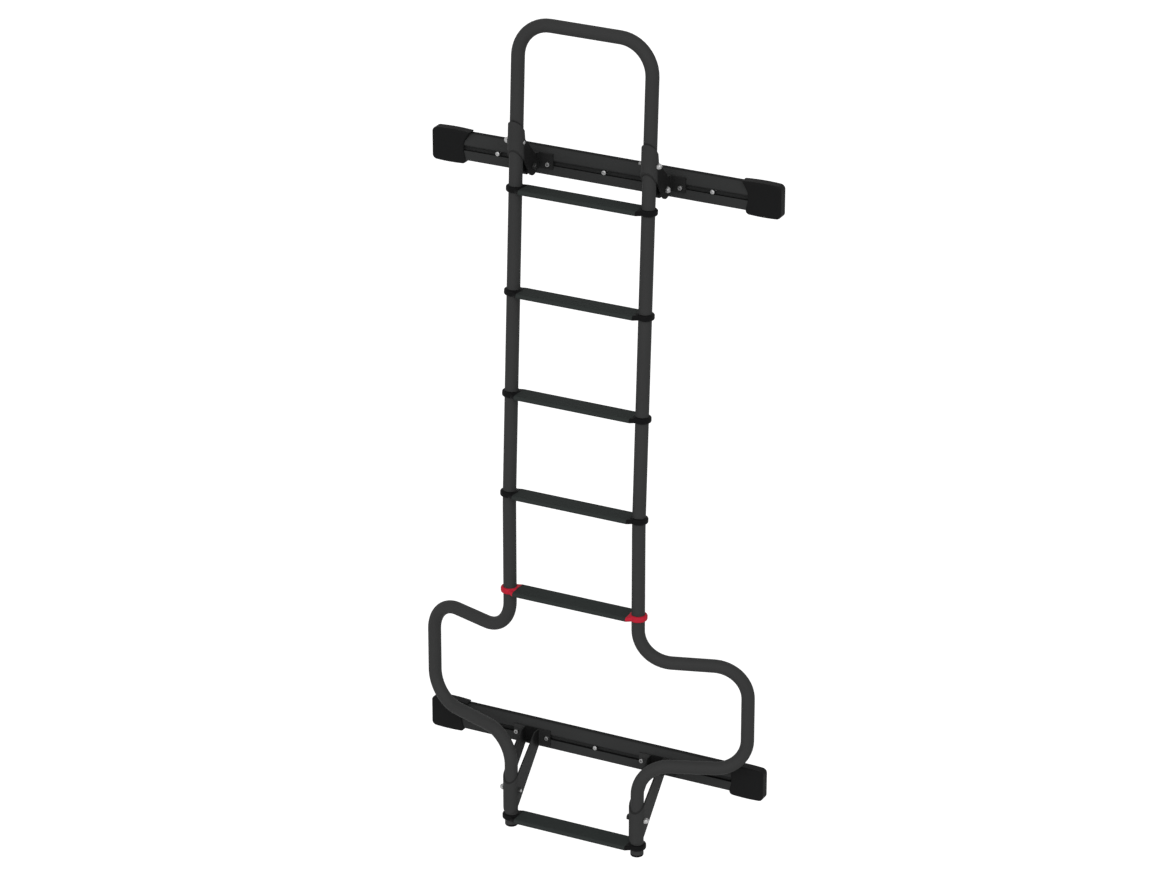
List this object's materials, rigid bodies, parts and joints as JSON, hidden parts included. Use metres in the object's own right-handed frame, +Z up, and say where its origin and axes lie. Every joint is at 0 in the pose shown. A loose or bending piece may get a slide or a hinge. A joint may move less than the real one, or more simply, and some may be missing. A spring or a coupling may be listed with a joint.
{
  "type": "van rear door ladder",
  "caption": "Black tubular ladder for a van's rear door, with flat rungs in clamps, a lower part that widens around the door's middle, and slotted bars that lie on the door.",
  "frame": {"origin": "centre of the lower bar's flat back face, which lies on the door", "axes": "+Z up along the ladder, +Y out of the bars' backs to the door, +X along the rungs to the right of someone who faces the door"},
  "size_m": [0.836, 0.1919, 1.9183],
  "materials": {
    "tube_coat": "satin black coat",
    "bar_coat": "satin black coat",
    "tread_coat": "satin black coat",
    "bracket_coat": "satin black coat",
    "black_plastic": "matte",
    "cap_plastic": "matte",
    "red_plastic": "matte",
    "bolt_steel": "zinc plated",
    "screw_steel": "dark plated"
  },
  "bodies": {
    "root": {"upper_frame_tube": "tube_coat", "left_lower_tube": "tube_coat", "left_foot_plug": "black_plastic", "right_lower_tube": "tube_coat", "right_foot_plug": "black_plastic", "rung_1": "tread_coat", "rung_1_left_clamp": "black_plastic", "rung_1_right_clamp": "black_plastic", "rung_2": "tread_coat", "rung_2_left_clamp": "black_plastic", "rung_2_right_clamp": "black_plastic", "rung_3": "tread_coat", "rung_3_left_clamp": "black_plastic", "rung_3_right_clamp": "black_plastic", "rung_4": "tread_coat", "rung_4_left_clamp": "black_plastic", "rung_4_right_clamp": "black_plastic", "rung_5": "tread_coat", "rung_5_left_clamp": "red_plastic", "rung_5_right_clamp": "red_plastic", "bottom_rung": "tread_coat", "bottom_rung_left_clamp": "black_plastic", "bottom_rung_right_clamp": "black_plastic", "left_top_strap": "bracket_coat", "left_top_bracket": "bracket_coat", "left_top_spacers": "black_plastic", "left_lower_bracket": "bracket_coat", "right_top_strap": "bracket_coat", "right_top_bracket": "bracket_coat", "right_top_spacers": "black_plastic", "right_lower_bracket": "bracket_coat", "upper_bar": "bar_coat", "upper_bar_left_cap": "cap_plastic", "upper_bar_right_cap": "cap_plastic", "lower_bar": "bar_coat", "lower_bar_left_cap": "cap_plastic", "lower_bar_right_cap": "cap_plastic"}
  },
  "joints": []
}
